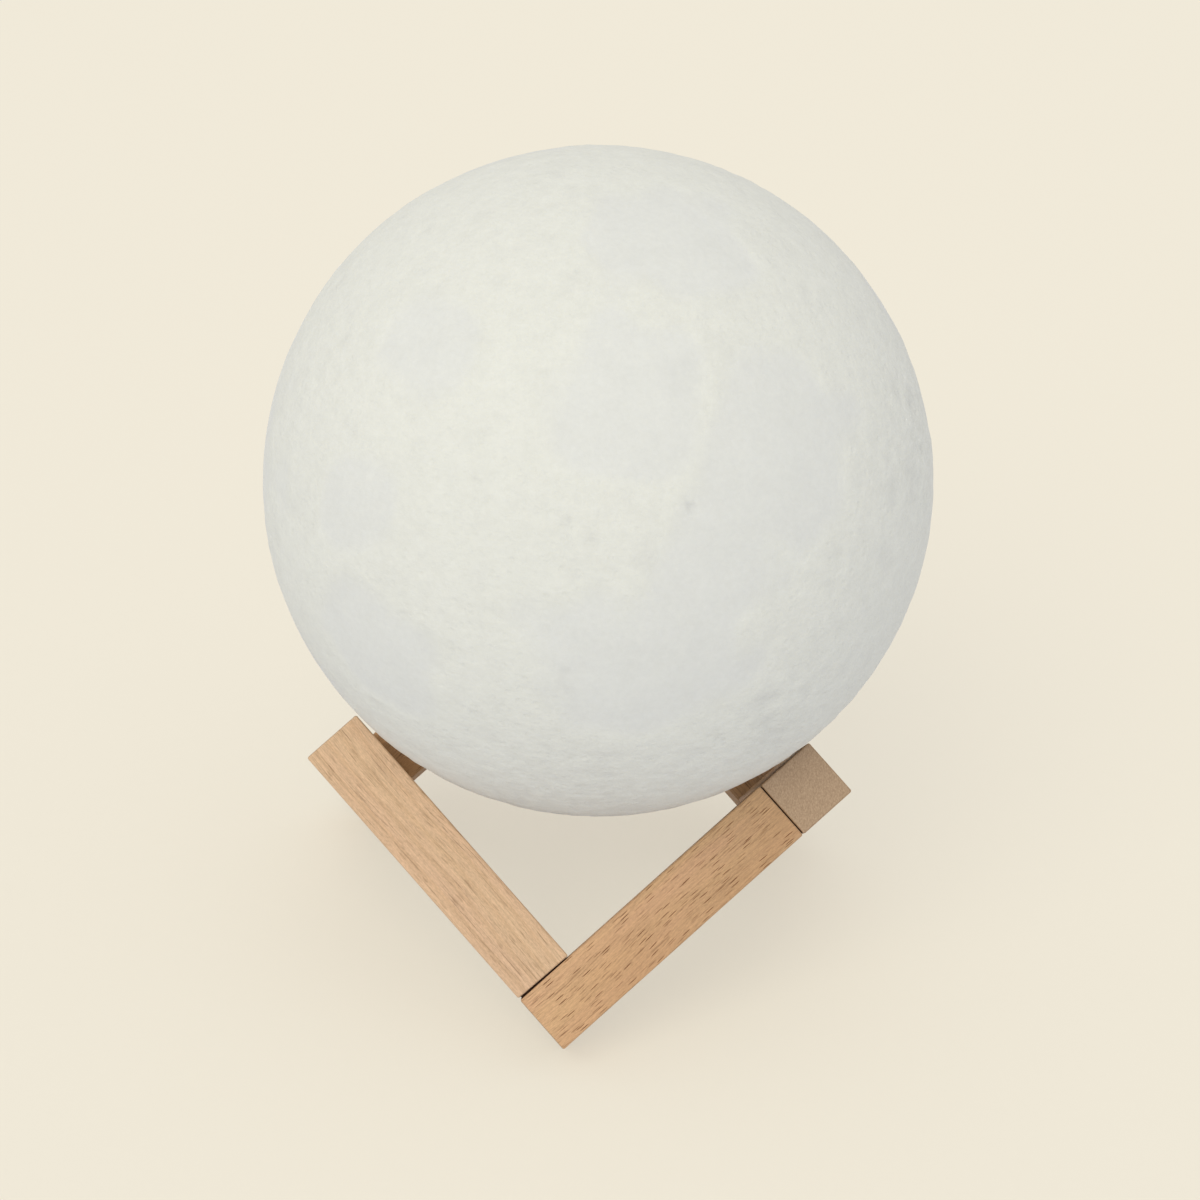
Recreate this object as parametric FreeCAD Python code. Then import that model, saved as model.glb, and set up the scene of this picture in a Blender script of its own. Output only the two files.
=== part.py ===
"""Moon lamp: a printed moon shade with its light inside, resting on a ring of six beech bars.

Millimetres, +Z up. The origin is on the table, under the middle of the shade.
The stand's front corner points along -Y.
"""
import FreeCAD, Part
import math
import os

os.makedirs("parts", exist_ok=True)

# Stand: six square bars in a zigzag ring, each one's end against the side of the next
BAR_SECTION = 14.5
BAR_LENGTH = 71.5
BAR_EDGE_ROUND = 0.5
JOINT_GAP = 0.25
FRONT_END_SKEW = 1.2
BAR_NAMES = ("front_right_bar", "right_bar", "rear_right_bar",
             "rear_left_bar", "left_bar", "front_left_bar")

# Blind dowels that pin the bars' corners
DOWEL_RADIUS = 2.5
DOWEL_FIT = 0.04
DOWEL_IN_END = 11.0
DOWEL_IN_SIDE = 9.0
DOWEL_END_ROOM = 0.5
DOWEL_CHAMFER = 0.6

# Shade: a hollow printed ball, cut flat underneath, with a short neck round its hole
SHADE_RADIUS = 75.0
SHADE_WALL = 2.0
FOOT_RADIUS = 21.5
NECK_BORE = 19.5
NECK_WALL = 1.8
NECK_HEIGHT = 8.0
CRADLE_GAP = 0.2

# Base cup that plugs the neck
CUP_FIT = 0.15
CUP_WALL = 1.6
CUP_FLOOR = 2.4
CUP_INSIDE_HEIGHT = 17.6
FLANGE_THICKNESS = 1.6
FLANGE_SETBACK = 0.5
FLANGE_CHAMFER = 0.4

# Touch ring let into the underside of the cup
RING_OUTER = 16.0
RING_INNER = 11.0
RING_THICKNESS = 1.0
RING_FIT = 0.1
RING_EDGE_CHAMFER = 0.2

# Charging socket in the cup's floor, on the other side of the axis from the charging light
SOCKET_REACH = 4.5
PLUG_BORE = 1.8
PLUG_DEPTH = 7.0
NOSE_RADIUS = 3.0
SOCKET_RADIUS = 4.2
NOSE_FIT = 0.15

# Main board, its standoffs and what is soldered to it
BOARD_STANDOFF = 6.0
BOARD_THICKNESS = 1.2
BOARD_ROOM = 0.45
STANDOFF_RADIUS = 2.2
STANDOFF_REACH = 14.4
TOUCH_CHIP = (5.0, 4.0, 1.5)
CHARGER_CHIP = (3.0, 3.0, 1.1)
COIL_RADIUS = 2.6
COIL_HEIGHT = 2.2
SMALL_PART = (2.0, 1.2, 0.7)
CHIP_REACH = 9.0

# Charging light: an emitter under the board and a clear rod through the floor
PIPE_RADIUS = 1.0
PIPE_COLLAR = 1.7
PIPE_COLLAR_HEIGHT = 0.8
PIPE_FIT = 0.1
PIPE_REACH = 7.2
CHARGE_LED = (2.0, 1.2, 0.8)
LIGHT_GAP = 0.3

# Small self-tapping screws
SCREW_SHANK = 0.9
SCREW_HEAD = 1.8
SCREW_HEAD_HEIGHT = 1.3
SCREW_GRIP = 4.5
SCREW_FIT = 0.05
SCREW_HOLE_SLACK = 0.25

# Flat cell, taped under the cup's cover
CELL_LENGTH = 28.0
CELL_WIDTH = 20.0
CELL_THICKNESS = 6.0
CELL_ROUND = 1.2
TAPE_LENGTH = 22.0
TAPE_WIDTH = 14.0
TAPE_THICKNESS = 1.0

# Cover of the cup and the tall bosses that it is screwed to
COVER_THICKNESS = 2.0
COVER_RECESS = 0.6
COVER_POST_FIT = 0.1
BOSS_RADIUS = 2.4
BOSS_BOARD_ROOM = 0.3

# Column that carries the light to the middle of the shade
POST_HEIGHT = 42.0
POST_FLANGE = 8.0
POST_FLANGE_HEIGHT = 1.5
POST_FOOT_RADIUS = 5.2
POST_TOP_RADIUS = 4.5
POST_BORE = 3.2
POST_LIP = 10.1
POST_LIP_HEIGHT = 1.0
POST_FLARE = 4.0
POST_SEAT = 9.0
POST_SEAT_HEIGHT = 2.0

# Light board, its emitters and the frosted cap over them
LIGHT_BOARD_RADIUS = 8.4
LIGHT_BOARD_THICKNESS = 1.0
EMITTER = (3.5, 2.8, 0.8)
EMITTER_REACH = 5.6
EMITTER_COUNT = 6
CAP_WALL = 1.0
CAP_SKIRT = 3.0
CAP_FIT = 0.1

# Insulated wires
LEAD_RADIUS = 0.6
LEAD_PITCH = 1.8
LEAD_BEND = 2.4
LEAD_RISE = 3.2
LEAD_SLOT_ROOM = 0.6
TOUCH_LEAD_ANGLE = 225.0
CELL_LEAD_RADIUS = 0.5
CELL_LEAD_OFFSET = 3.2
CELL_LEAD_REACH = 1.9
CELL_LEAD_BEND = 1.1

Vector = FreeCAD.Vector
UP = Vector(0, 0, 1)

# The ring's geometry: bars climb and fall in turn at the slope that makes every corner square
half_section = BAR_SECTION / 2
corner_pitch = BAR_LENGTH + JOINT_GAP
bar_slope = math.atan(1 / math.sqrt(2))
ring_radius = corner_pitch * math.cos(bar_slope)
round_centre = half_section - BAR_EDGE_ROUND
low_corner_z = round_centre * math.sqrt(3) + BAR_EDGE_ROUND


def bar_direction(index):
    """Unit vector along a bar, counted anticlockwise from the front corner."""
    plan_angle = math.radians(30 + 60 * index)
    rise = math.sin(bar_slope) if index % 2 == 0 else -math.sin(bar_slope)
    run = math.cos(bar_slope)
    return Vector(run * math.cos(plan_angle), run * math.sin(plan_angle), rise)


def ring_corner(index):
    """Centre of the ring's corner at which a bar starts."""
    corner = Vector(0, -ring_radius, low_corner_z)
    for passed in range(index):
        corner = corner + bar_direction(passed) * corner_pitch
    return corner


def shade_centre_height():
    """Height at which the ball rests on the rounded upper corners of the ring."""
    out = bar_direction(1) * -1
    side = bar_direction(0)
    across = bar_direction(5) * -1
    touch = ring_corner(1) + (out + side + across) * round_centre
    reach = SHADE_RADIUS + CRADLE_GAP + BAR_EDGE_ROUND
    return touch.z + math.sqrt(reach ** 2 - touch.x ** 2 - touch.y ** 2)


# Heights of the lamp's pieces, from the middle of the shade
foot_z = -math.sqrt(SHADE_RADIUS ** 2 - FOOT_RADIUS ** 2)
underside_z = foot_z - FLANGE_THICKNESS
floor_z = underside_z + CUP_FLOOR
board_z = floor_z + BOARD_STANDOFF
board_top_z = board_z + BOARD_THICKNESS
rim_z = floor_z + CUP_INSIDE_HEIGHT
cover_top_z = rim_z + COVER_THICKNESS
post_foot_z = cover_top_z - COVER_RECESS
post_top_z = post_foot_z + POST_HEIGHT
seat_z = post_top_z - POST_SEAT_HEIGHT
emitter_z = post_top_z + LIGHT_BOARD_THICKNESS
cell_top_z = rim_z - TAPE_THICKNESS
cell_z = cell_top_z - CELL_THICKNESS
lead_turn_z = post_foot_z + POST_FLANGE_HEIGHT + LEAD_RISE

# Places round the lamp's axis
cup_radius = NECK_BORE - CUP_FIT
cup_bore = cup_radius - CUP_WALL
board_radius = cup_bore - BOARD_ROOM
boss_reach = cup_bore - BOSS_RADIUS + CUP_WALL / 2
cell_side_gap = boss_reach - BOSS_RADIUS - CELL_WIDTH / 2
lead_y = CELL_WIDTH / 2 + cell_side_gap / 2
lead_inside_y = POST_BORE / 2 - LEAD_RADIUS / 2
ring_middle = (RING_OUTER + RING_INNER) / 2
touch_turn = math.radians(TOUCH_LEAD_ANGLE)
touch_place = Vector(ring_middle * math.cos(touch_turn), ring_middle * math.sin(touch_turn), 0)
socket_place = Vector(-SOCKET_REACH, 0, 0)
pipe_place = Vector(PIPE_REACH, 0, 0)
standoff_places = (Vector(STANDOFF_REACH, 0, 0), Vector(-STANDOFF_REACH, 0, 0))
boss_places = (Vector(0, boss_reach, 0), Vector(0, -boss_reach, 0))


def framed(shape, origin, along_x, along_y):
    """Carry a shape to an origin, with its own X and Y along two square directions."""
    along_z = along_x.cross(along_y)
    matrix = FreeCAD.Matrix(along_x.x, along_y.x, along_z.x, origin.x,
                            along_x.y, along_y.y, along_z.y, origin.y,
                            along_x.z, along_y.z, along_z.z, origin.z,
                            0, 0, 0, 1)
    return shape.transformed(matrix)


def turned(profile):
    """Solid of revolution about Z from a half section of (radius, height) points."""
    points = [Vector(radius, 0, height) for radius, height in profile]
    wire = Part.makePolygon(points + points[:1])
    return Part.Face(wire).revolve(Vector(0, 0, 0), UP, 360)


def rod(radius, low, high, place=Vector(0, 0, 0)):
    """Upright cylinder between two heights."""
    return Part.makeCylinder(radius, high - low, Vector(place.x, place.y, low), UP)


def block(size, place, low):
    """Box standing on a height, centred on a place in plan."""
    length, width, height = size
    corner = Vector(place.x - length / 2, place.y - width / 2, low)
    return Part.makeBox(length, width, height, corner)


def routed(points, radius, bend):
    """Round wire along straight runs that meet in tangent arcs of one bend radius."""
    edges = []
    start = points[0]
    for here, after in zip(points[1:-1], points[2:]):
        inward = (here - start).normalize()
        outward = (after - here).normalize()
        trim = bend * math.tan(inward.getAngle(outward) / 2)
        arc_start = here - inward * trim
        arc_end = here + outward * trim
        bisector = (outward - inward).normalize()
        depth = math.hypot(bend, trim) - bend
        edges.append(Part.LineSegment(start, arc_start).toShape())
        edges.append(Part.Arc(arc_start, here + bisector * depth, arc_end).toShape())
        start = arc_end
    edges.append(Part.LineSegment(start, points[-1]).toShape())
    first_run = points[1] - points[0]
    section = Part.Wire([Part.makeCircle(radius, points[0], first_run)])
    return Part.Wire(edges).makePipeShell([section], True, False)


def bar(skew_deg=0.0):
    """Planed bar along +X from its passing end, which is centred on the origin.

    The side hole takes the dowel of the bar that butts here, and the end hole its own.
    """
    end_x = BAR_LENGTH - half_section
    skew_run = BAR_SECTION * math.tan(math.radians(skew_deg))
    outline = [Vector(-half_section, -half_section, -half_section),
               Vector(end_x - skew_run, -half_section, -half_section),
               Vector(end_x, -half_section, half_section),
               Vector(-half_section, -half_section, half_section)]
    face = Part.Face(Part.makePolygon(outline + outline[:1]))
    blank = face.extrude(Vector(0, BAR_SECTION, 0))
    blank = blank.makeFillet(BAR_EDGE_ROUND, blank.Edges)
    hole = DOWEL_RADIUS + DOWEL_FIT
    side_depth = DOWEL_IN_SIDE + DOWEL_END_ROOM
    end_depth = DOWEL_IN_END + DOWEL_END_ROOM
    side_hole = Part.makeCylinder(hole, side_depth, Vector(0, half_section, 0), Vector(0, -1, 0))
    end_hole = Part.makeCylinder(hole, end_depth, Vector(end_x, 0, 0), Vector(-1, 0, 0))
    return blank.cut(side_hole).cut(end_hole)


def dowel():
    """Chamfered dowel across the joint at a bar's butting end, in that bar's own frame."""
    start = Vector(BAR_LENGTH - half_section - DOWEL_IN_END, 0, 0)
    length = DOWEL_IN_END + JOINT_GAP + DOWEL_IN_SIDE
    peg = Part.makeCylinder(DOWEL_RADIUS, length, start, Vector(1, 0, 0))
    rims = [edge for edge in peg.Edges if len(edge.Vertexes) == 1]
    return peg.makeChamfer(DOWEL_CHAMFER, rims)


def in_ring(shape, index):
    """Carry a piece from a bar's own frame to that bar's place in the ring."""
    came_from = bar_direction(index - 1) * -1
    return framed(shape, ring_corner(index), bar_direction(index), came_from)


def stand():
    """The six bars and the group of dowels that pins them."""
    pieces = {}
    for index, name in enumerate(BAR_NAMES):
        skew = FRONT_END_SKEW if name == "front_left_bar" else 0.0
        pieces[name] = in_ring(bar(skew), index)
    pegs = [in_ring(dowel(), index) for index in range(len(BAR_NAMES))]
    pieces["corner_dowels"] = Part.makeCompound(pegs)
    return pieces


def moon_shade():
    """Hollow ball with a flat foot and a neck that grips the base cup."""
    inner = SHADE_RADIUS - SHADE_WALL
    neck_outer = NECK_BORE + NECK_WALL
    neck_top = foot_z + NECK_HEIGHT
    neck_root = -math.sqrt(inner ** 2 - neck_outer ** 2)
    corners = [Vector(FOOT_RADIUS, 0, foot_z), Vector(NECK_BORE, 0, foot_z),
               Vector(NECK_BORE, 0, neck_top), Vector(neck_outer, 0, neck_top),
               Vector(neck_outer, 0, neck_root)]
    edges = [Part.Arc(Vector(0, 0, SHADE_RADIUS), Vector(SHADE_RADIUS, 0, 0), corners[0]).toShape()]
    for first, second in zip(corners, corners[1:]):
        edges.append(Part.LineSegment(first, second).toShape())
    edges.append(Part.Arc(corners[-1], Vector(inner, 0, 0), Vector(0, 0, inner)).toShape())
    edges.append(Part.LineSegment(Vector(0, 0, inner), Vector(0, 0, SHADE_RADIUS)).toShape())
    return Part.Face(Part.Wire(edges)).revolve(Vector(0, 0, 0), UP, 360)


def base_cup():
    """Moulded cup with a flange under the shade, standoffs for the board and tall cover bosses."""
    flange = FOOT_RADIUS - FLANGE_SETBACK
    cup = turned([(0, underside_z), (flange - FLANGE_CHAMFER, underside_z),
                  (flange, underside_z + FLANGE_CHAMFER), (flange, foot_z),
                  (cup_radius, foot_z), (cup_radius, rim_z), (cup_bore, rim_z),
                  (cup_bore, floor_z), (0, floor_z)])
    for place in standoff_places:
        cup = cup.fuse(rod(STANDOFF_RADIUS, floor_z, board_z, place))
    for place in boss_places:
        cup = cup.fuse(rod(BOSS_RADIUS, floor_z, rim_z, place))
    pilot = SCREW_SHANK + SCREW_FIT
    for place in standoff_places:
        cup = cup.cut(rod(pilot, board_top_z - SCREW_GRIP - SCREW_HOLE_SLACK, board_z, place))
    for place in boss_places:
        cup = cup.cut(rod(pilot, cover_top_z - SCREW_GRIP - SCREW_HOLE_SLACK, rim_z, place))
    groove_top = underside_z + RING_THICKNESS
    groove = rod(RING_OUTER + RING_FIT, underside_z, groove_top)
    island = rod(RING_INNER - RING_FIT, underside_z, groove_top)
    cup = cup.cut(groove.cut(island))
    cup = cup.cut(rod(NOSE_RADIUS + NOSE_FIT, underside_z, floor_z, socket_place))
    cup = cup.cut(rod(PIPE_RADIUS + PIPE_FIT, underside_z, floor_z, pipe_place))
    cup = cup.cut(rod(LEAD_RADIUS + LEAD_SLOT_ROOM, underside_z, floor_z, touch_place))
    return cup.removeSplitter()


def touch_ring():
    """Flat steel ring, flush with the underside, that feels a finger."""
    low = underside_z
    high = underside_z + RING_THICKNESS
    ease = RING_EDGE_CHAMFER
    return turned([(RING_INNER + ease, low), (RING_OUTER - ease, low), (RING_OUTER, low + ease),
                   (RING_OUTER, high), (RING_INNER, high), (RING_INNER, low + ease)])


def charging_socket():
    """Upright socket: a shoulder on the floor, a nose through it and a blind plug bore."""
    socket = turned([(PLUG_BORE, underside_z), (NOSE_RADIUS, underside_z), (NOSE_RADIUS, floor_z),
                     (SOCKET_RADIUS, floor_z), (SOCKET_RADIUS, board_z), (0, board_z),
                     (0, underside_z + PLUG_DEPTH), (PLUG_BORE, underside_z + PLUG_DEPTH)])
    return socket.translated(socket_place)


def charge_light():
    """Clear rod through the floor and the emitter that it leads down from the board."""
    emitter_low = board_z - CHARGE_LED[2]
    clear_rod = rod(PIPE_RADIUS, underside_z, emitter_low - LIGHT_GAP, pipe_place)
    collar = rod(PIPE_COLLAR, floor_z, floor_z + PIPE_COLLAR_HEIGHT, pipe_place)
    pipe = clear_rod.fuse(collar).removeSplitter()
    return {"charge_light_pipe": pipe, "charge_light": block(CHARGE_LED, pipe_place, emitter_low)}


def main_board():
    """Round board on the standoffs, notched round the cover bosses."""
    board = rod(board_radius, board_z, board_top_z)
    for place in boss_places:
        board = board.cut(rod(BOSS_RADIUS + BOSS_BOARD_ROOM, board_z, board_top_z, place))
    for place in standoff_places:
        board = board.cut(rod(SCREW_SHANK + SCREW_HOLE_SLACK, board_z, board_top_z, place))
    return board


def board_parts():
    """Touch chip, charger chip, coil and small parts on top of the board."""
    step = CHIP_REACH / 2
    parts = [block(TOUCH_CHIP, Vector(-step, step, 0), board_top_z),
             block(CHARGER_CHIP, Vector(step, step, 0), board_top_z),
             rod(COIL_RADIUS, board_top_z, board_top_z + COIL_HEIGHT, Vector(step, -step, 0))]
    for side in (-1, 0, 1):
        place = Vector(-step + side * SMALL_PART[0] * 1.5, -step, 0)
        parts.append(block(SMALL_PART, place, board_top_z))
    return Part.makeCompound(parts)


def screw(head_seat, place):
    """Domed screw whose head rests on a height."""
    rim = SCREW_HEAD_HEIGHT / 2
    top = head_seat + SCREW_HEAD_HEIGHT
    shape = turned([(0, head_seat - SCREW_GRIP), (SCREW_SHANK, head_seat - SCREW_GRIP),
                    (SCREW_SHANK, head_seat), (SCREW_HEAD, head_seat), (SCREW_HEAD, head_seat + rim),
                    (SCREW_HEAD - rim, top), (0, top)])
    return shape.translated(place)


def cell():
    """Flat cell with soft edges."""
    body = block((CELL_LENGTH, CELL_WIDTH, CELL_THICKNESS), Vector(0, 0, 0), cell_z)
    return body.makeFillet(CELL_ROUND, body.Edges)


def cell_leads():
    """Two leads from the cell's end down to the board."""
    wires = []
    middle = cell_z + CELL_THICKNESS / 2
    end_x = CELL_LENGTH / 2
    for side in (-1, 1):
        y = side * CELL_LEAD_OFFSET
        route = [Vector(end_x, y, middle), Vector(end_x + CELL_LEAD_REACH, y, middle),
                 Vector(end_x + CELL_LEAD_REACH, y, board_top_z)]
        wires.append(routed(route, CELL_LEAD_RADIUS, CELL_LEAD_BEND))
    return Part.makeCompound(wires)


def cup_cover():
    """Cover with a recess for the column's flange, screw holes and a slot for the wires."""
    cover = rod(cup_radius, rim_z, cover_top_z)
    cover = cover.cut(rod(POST_FLANGE + COVER_POST_FIT, post_foot_z, cover_top_z))
    for place in boss_places:
        cover = cover.cut(rod(SCREW_SHANK + SCREW_HOLE_SLACK, rim_z, cover_top_z, place))
    width = LEAD_PITCH + 2 * (LEAD_RADIUS + LEAD_SLOT_ROOM)
    depth = 2 * (LEAD_RADIUS + LEAD_SLOT_ROOM)
    return cover.cut(block((width, depth, COVER_THICKNESS), Vector(0, lead_y, 0), rim_z))


def light_post():
    """Tapered column with a flared head, bored for the wires, with a window at its foot."""
    flange_top = post_foot_z + POST_FLANGE_HEIGHT
    lip_z = seat_z - POST_LIP_HEIGHT
    post = turned([(POST_BORE, post_foot_z), (POST_FLANGE, post_foot_z), (POST_FLANGE, flange_top),
                   (POST_FOOT_RADIUS, flange_top), (POST_TOP_RADIUS, lip_z - POST_FLARE),
                   (POST_LIP, lip_z), (POST_LIP, seat_z), (POST_SEAT, seat_z),
                   (POST_SEAT, post_top_z), (POST_BORE, post_top_z)])
    width = LEAD_PITCH + 2 * (LEAD_RADIUS + LEAD_SLOT_ROOM)
    height = 2 * (LEAD_RADIUS + LEAD_SLOT_ROOM)
    window = block((width, POST_FOOT_RADIUS, height), Vector(0, POST_FOOT_RADIUS / 2 + lead_inside_y, 0),
                   lead_turn_z - height / 2)
    return post.cut(window)


def light_wires():
    """Two wires past the cell, through the cover and up the column to the light board."""
    wires = []
    for side in (-1, 1):
        x = side * LEAD_PITCH / 2
        route = [Vector(x, lead_y, board_top_z), Vector(x, lead_y, lead_turn_z),
                 Vector(x, lead_inside_y, lead_turn_z), Vector(x, lead_inside_y, post_top_z)]
        wires.append(routed(route, LEAD_RADIUS, LEAD_BEND))
    return Part.makeCompound(wires)


def emitters():
    """Warm and cool emitters in a ring on the light board."""
    length, width, height = EMITTER
    chips = []
    for index in range(EMITTER_COUNT):
        chip = block((width, length, height), Vector(EMITTER_REACH, 0, 0), emitter_z)
        chip.rotate(Vector(0, 0, 0), UP, index * 360 / EMITTER_COUNT)
        chips.append(chip)
    return Part.makeCompound(chips)


def frosted_cap():
    """Domed cap pushed over the head of the column, down to its lip."""
    inner = POST_SEAT + CAP_FIT
    outer = inner + CAP_WALL
    spring_z = seat_z + CAP_SKIRT
    diagonal = math.sqrt(0.5)
    outer_mid = Vector(outer * diagonal, 0, spring_z + outer * diagonal)
    inner_mid = Vector(inner * diagonal, 0, spring_z + inner * diagonal)
    outer_top = Vector(0, 0, spring_z + outer)
    inner_top = Vector(0, 0, spring_z + inner)
    edges = [Part.LineSegment(Vector(inner, 0, seat_z), Vector(outer, 0, seat_z)).toShape(),
             Part.LineSegment(Vector(outer, 0, seat_z), Vector(outer, 0, spring_z)).toShape(),
             Part.Arc(Vector(outer, 0, spring_z), outer_mid, outer_top).toShape(),
             Part.LineSegment(outer_top, inner_top).toShape(),
             Part.Arc(inner_top, inner_mid, Vector(inner, 0, spring_z)).toShape(),
             Part.LineSegment(Vector(inner, 0, spring_z), Vector(inner, 0, seat_z)).toShape()]
    return Part.Face(Part.Wire(edges)).revolve(Vector(0, 0, 0), UP, 360)


def lamp():
    """Everything that lifts off the stand, built round the middle of the shade."""
    pieces = {"moon_shade": moon_shade(), "base_cup": base_cup(), "touch_ring": touch_ring(),
              "charging_socket": charging_socket(), "main_board": main_board(),
              "board_parts": board_parts(), "cell": cell(), "cell_leads": cell_leads(),
              "cup_cover": cup_cover(), "light_post": light_post(), "light_wires": light_wires(),
              "light_emitters": emitters(), "frosted_cap": frosted_cap()}
    pieces.update(charge_light())
    pieces["touch_lead"] = rod(LEAD_RADIUS, underside_z + RING_THICKNESS, board_z, touch_place)
    pieces["cell_tape"] = block((TAPE_LENGTH, TAPE_WIDTH, TAPE_THICKNESS), Vector(0, 0, 0), cell_top_z)
    pieces["light_board"] = rod(LIGHT_BOARD_RADIUS, post_top_z, emitter_z)
    board_screws = [screw(board_top_z, place) for place in standoff_places]
    cover_screws = [screw(cover_top_z, place) for place in boss_places]
    pieces["board_screws"] = Part.makeCompound(board_screws)
    pieces["cover_screws"] = Part.makeCompound(cover_screws)
    lift = Vector(0, 0, shade_centre_height())
    return {name: shape.translated(lift) for name, shape in pieces.items()}


for node, solid in {**stand(), **lamp()}.items():
    solid.exportStep(f"parts/{node}.step")
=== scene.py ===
"""Moon lamp, dressed: a printed moon shade on a zigzag ring of six beech bars.

Metres, +Z up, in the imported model's frame: the origin is on the table under the middle of the
shade, and the stand's front corner points along -Y.
"""
import math

import bpy
import numpy as np
from mathutils import Matrix, Vector


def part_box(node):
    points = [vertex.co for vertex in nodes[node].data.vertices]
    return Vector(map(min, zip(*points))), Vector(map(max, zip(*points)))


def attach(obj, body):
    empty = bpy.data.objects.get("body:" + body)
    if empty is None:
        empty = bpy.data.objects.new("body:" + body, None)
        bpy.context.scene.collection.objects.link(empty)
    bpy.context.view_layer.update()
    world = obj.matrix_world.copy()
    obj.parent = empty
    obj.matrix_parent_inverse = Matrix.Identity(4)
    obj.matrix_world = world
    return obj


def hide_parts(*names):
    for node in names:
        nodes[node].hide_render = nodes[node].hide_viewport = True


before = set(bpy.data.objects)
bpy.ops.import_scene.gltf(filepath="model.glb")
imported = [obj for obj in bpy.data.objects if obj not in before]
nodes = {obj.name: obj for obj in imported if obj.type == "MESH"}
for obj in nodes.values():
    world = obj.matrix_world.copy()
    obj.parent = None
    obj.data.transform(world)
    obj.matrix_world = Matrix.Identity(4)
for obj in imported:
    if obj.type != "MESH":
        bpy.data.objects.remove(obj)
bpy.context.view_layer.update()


# --- The six bars of the stand -------------------------------------------------------------
# Square bars of steamed beech, sawn from different boards, planed on four sides and oiled thin.
# Each one's end is glued and dowelled against the side of the next, so that they zigzag round.

MM = 0.001
CORNER_PITCH = 0.07175
BAR_SECTION = 0.0145
EDGE_ROUND = 0.0005
BAR_SLOPE = math.atan(1 / math.sqrt(2))
LOW_CORNER_Z = (BAR_SECTION / 2 - EDGE_ROUND) * math.sqrt(3) + EDGE_ROUND
JOINT_PATCH_MM = 6.8
JOINT_DEPTH_MM = 7.2
RING_WIDTH_MM = 2.6
PITH_DISTANCE_MM = 70.0

# Sizes of the wood's patterns in millimetres: along the bar, round the rings and out from the
# pith. Fibres, rays and pores are drawn two or three times too wide, so that they show.
WANDER_MM = (70, 30, 30)
DRIFT_MM = 5.0
ZONE_MM = (45, 5.5, 5.5)
FIBRE_MM = (16, 0.36, 0.36)
FLECK_MM = (0.9, 0.24, 0.24)
RAY_MM = (7.8, 0.58)
PORE_MM = (1, 0.28, 0.5)
# How far along a bar the painted shade of the ball fades in, towards the bar's far end
SHADE_FADE_LENGTH_MM = 60.0


def linear(code):
    """Linear colour of an sRGB hex value."""
    shares = [int(code[place:place + 2], 16) / 255 for place in (0, 2, 4)]
    return [s / 12.92 if s <= 0.04045 else ((s + 0.055) / 1.055) ** 2.4 for s in shares] + [1.0]


def fill(tree, node, inputs):
    """Set or link a node's inputs by name or by number.

    A node given as a value stands for the first output that it has in use.
    """
    in_use = [socket for socket in node.inputs if socket.enabled]
    for name, value in inputs.items():
        if isinstance(name, int):
            socket = in_use[name]
        else:
            socket = next(one for one in in_use if one.name == name)
        if isinstance(value, bpy.types.Node):
            value = next(output for output in value.outputs if output.enabled)
        if isinstance(value, bpy.types.NodeSocket):
            tree.links.new(value, socket)
        else:
            socket.default_value = value


def add(tree, kind, inputs=None, **settings):
    """Add one node with its settings and its links."""
    node = tree.nodes.new("ShaderNode" + kind)
    for name, value in settings.items():
        setattr(node, name, value)
    fill(tree, node, inputs or {})
    return node


def new_finish(name, **uniform):
    """A material and its shader, whose sockets are named by words joined with _."""
    finish = bpy.data.materials.new(name)
    finish.use_nodes = True
    shader = finish.node_tree.nodes["Principled BSDF"]
    for words, value in uniform.items():
        shader.inputs[words.replace("_", " ")].default_value = value
    return finish, finish.node_tree, shader


def per_cell(sizes):
    """How many cells of a pattern go into a unit of length, along each axis."""
    return [1 / size for size in sizes]


def bar_direction(index):
    """Unit vector along a bar, counted anticlockwise from the front corner."""
    plan_angle = math.radians(30 + 60 * index)
    rise = math.sin(BAR_SLOPE) if index % 2 == 0 else -math.sin(BAR_SLOPE)
    run = math.cos(BAR_SLOPE)
    return Vector((run * math.cos(plan_angle), run * math.sin(plan_angle), rise))


def bar_place(index):
    """Where a bar starts, and its own axes: along it, across it and square to both."""
    corner = Vector((0, -CORNER_PITCH * math.cos(BAR_SLOPE), LOW_CORNER_Z))
    for passed in range(index):
        corner += bar_direction(passed) * CORNER_PITCH
    along, across = bar_direction(index), -bar_direction(index - 1)
    return corner, Matrix((along, across, along.cross(across))).transposed()


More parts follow.
